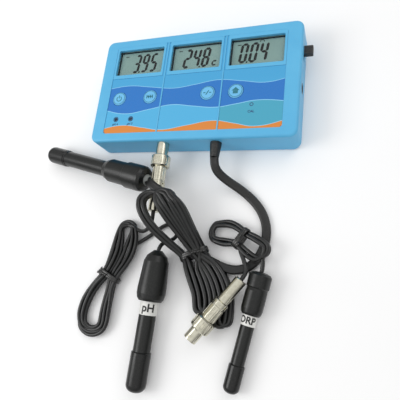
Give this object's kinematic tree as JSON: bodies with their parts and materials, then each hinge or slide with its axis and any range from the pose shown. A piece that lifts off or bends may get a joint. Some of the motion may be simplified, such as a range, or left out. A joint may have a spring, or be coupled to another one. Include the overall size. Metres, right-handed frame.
{
  "type": "water quality monitor with probes",
  "caption": "Wall water quality monitor with displays, keys and a wave pattern label, with corded conductivity, pH and redox probes, bayonet plugs and tied cord hanks.",
  "frame": {"origin": "centre of the monitor's flat back face, on the surface that everything lies on", "axes": "+X to the monitor's right, +Y to its top edge, +Z out of its display face"},
  "size_m": [0.2229, 0.2729, 0.031],
  "materials": {
    "case_blue": "satin moulded ABS, light sky blue",
    "overlay_print": "printed polyester overlay with blue and orange waves",
    "key_blue": "smooth moulded key caps",
    "window_clear": "clear acrylic display lens",
    "lcd_cell": "grey-green liquid crystal cell",
    "zebra_rubber": "conductive elastomer strips",
    "board_green": "glass epoxy board with solder mask",
    "chip_black": "moulded component bodies",
    "screw_steel": "zinc plated screws",
    "trimmer_brass": "turned adjuster screws",
    "switch_black": "moulded nylon",
    "plug_nickel": "bright nickel plated brass",
    "insulator_white": "turned insulator",
    "pin_gold": "plated contact pins",
    "gland_black": "moulded strain relief",
    "probe_black": "moulded black ABS, fine texture",
    "cap_black": "soft black protective cap",
    "seal_black": "nitrile ring",
    "band_white": "printed white band",
    "electrode_grey": "graphite electrodes",
    "sensor_glass": "sensing glass bulb",
    "cord_black": "soft black PVC jacket",
    "tie_black": "plastic covered wire tie"
  },
  "bodies": {
    "monitor": {"bayonet_jack": "plug_nickel", "board_components": "chip_black", "board_screws": "screw_steel", "button_switches": "chip_black", "cable_gland": "gland_black", "case_screws": "screw_steel", "cord_ties": "tie_black", "display_cells": "lcd_cell", "display_windows": "window_clear", "ec_collar": "probe_black", "ec_cord_case": "cord_black", "ec_cord_probe": "cord_black", "ec_electrodes": "electrode_grey", "ec_handle": "probe_black", "ec_hank": "cord_black", "ec_seal": "seal_black", "ec_shaft": "probe_black", "face_labels": "overlay_print", "front_shell": "case_blue", "jack_insulators": "insulator_white", "main_board": "board_green", "orp_cord_plug": "cord_black", "orp_cord_probe": "cord_black", "orp_coupler": "plug_nickel", "orp_handle": "probe_black", "orp_hank": "cord_black", "orp_label": "band_white", "orp_plug_body": "plug_nickel", "orp_plug_tail": "plug_nickel", "orp_sensor": "sensor_glass", "orp_shaft": "probe_black", "ph_cord_plug": "cord_black", "ph_cord_probe": "cord_black", "ph_handle": "probe_black", "ph_hank": "cord_black", "ph_label": "band_white", "ph_plug_body": "plug_nickel", "ph_plug_tail": "plug_nickel", "ph_sensor": "sensor_glass", "ph_shaft": "probe_black", "plug_pins": "pin_gold", "power_jack": "switch_black", "rear_shell": "case_blue", "switch_body": "switch_black", "trimmer_bodies": "chip_black", "zebra_strips": "zebra_rubber"},
    "key_1": {"key_1": "key_blue"},
    "key_2": {"key_2": "key_blue"},
    "key_3": {"key_3": "key_blue"},
    "key_4": {"key_4": "key_blue"},
    "switch_knob": {"switch_knob": "switch_black"},
    "trimmer_left": {"trimmer_left": "trimmer_brass"},
    "trimmer_right": {"trimmer_right": "trimmer_brass"},
    "ph_plug_nut": {"ph_plug_nut": "plug_nickel"},
    "orp_plug_nut": {"orp_plug_nut": "plug_nickel"},
    "ec_cap": {"ec_cap": "cap_black"},
    "ph_cap": {"ph_cap": "cap_black"},
    "orp_cap": {"orp_cap": "cap_black"}
  },
  "joints": [
    {"name": "key_1_press", "type": "slide", "parent": "monitor", "child": "key_1", "axis": [0, 0, -1], "range_m": [0, 0.0005], "stiffness_N_per_m": 1500},
    {"name": "key_2_press", "type": "slide", "parent": "monitor", "child": "key_2", "axis": [0, 0, -1], "range_m": [0, 0.0005], "stiffness_N_per_m": 1500},
    {"name": "key_3_press", "type": "slide", "parent": "monitor", "child": "key_3", "axis": [0, 0, -1], "range_m": [0, 0.0005], "stiffness_N_per_m": 1500},
    {"name": "key_4_press", "type": "slide", "parent": "monitor", "child": "key_4", "axis": [0, 0, -1], "range_m": [0, 0.0005], "stiffness_N_per_m": 1500},
    {"name": "switch_slide", "type": "slide", "parent": "monitor", "child": "switch_knob", "axis": [0, -1, 0], "range_m": [0, 0.005]},
    {"name": "trimmer_left_turn", "type": "hinge", "parent": "monitor", "child": "trimmer_left", "pos_m": [-0.0619, -0.0273, 0.024], "axis": [0, 0, 1], "range_deg": [-135, 135]},
    {"name": "trimmer_right_turn", "type": "hinge", "parent": "monitor", "child": "trimmer_right", "pos_m": [-0.0486, -0.0273, 0.024], "axis": [0, 0, 1], "range_deg": [-135, 135]},
    {"name": "ph_nut_turn", "type": "hinge", "parent": "monitor", "child": "ph_plug_nut", "pos_m": [-0.0202, -0.0615, 0.0176], "axis": [0, -1, 0], "range_deg": [0, 90]},
    {"name": "orp_nut_turn", "type": "hinge", "parent": "monitor", "child": "orp_plug_nut", "pos_m": [0.0261, -0.1756, 0.0129], "axis": [0.6, 0.8, 0], "range_deg": [0, 90]},
    {"name": "ec_cap_pull", "type": "slide", "parent": "monitor", "child": "ec_cap", "axis": [-0.9591, 0.2553, -0.1222], "range_m": [0, 0.02]},
    {"name": "ph_cap_pull", "type": "slide", "parent": "monitor", "child": "ph_cap", "axis": [-0.0561, -0.997, -0.0535], "range_m": [0, 0.0205]},
    {"name": "orp_cap_pull", "type": "slide", "parent": "monitor", "child": "orp_cap", "axis": [-0.1928, -0.9804, -0.0402], "range_m": [0, 0.014]}
  ]
}
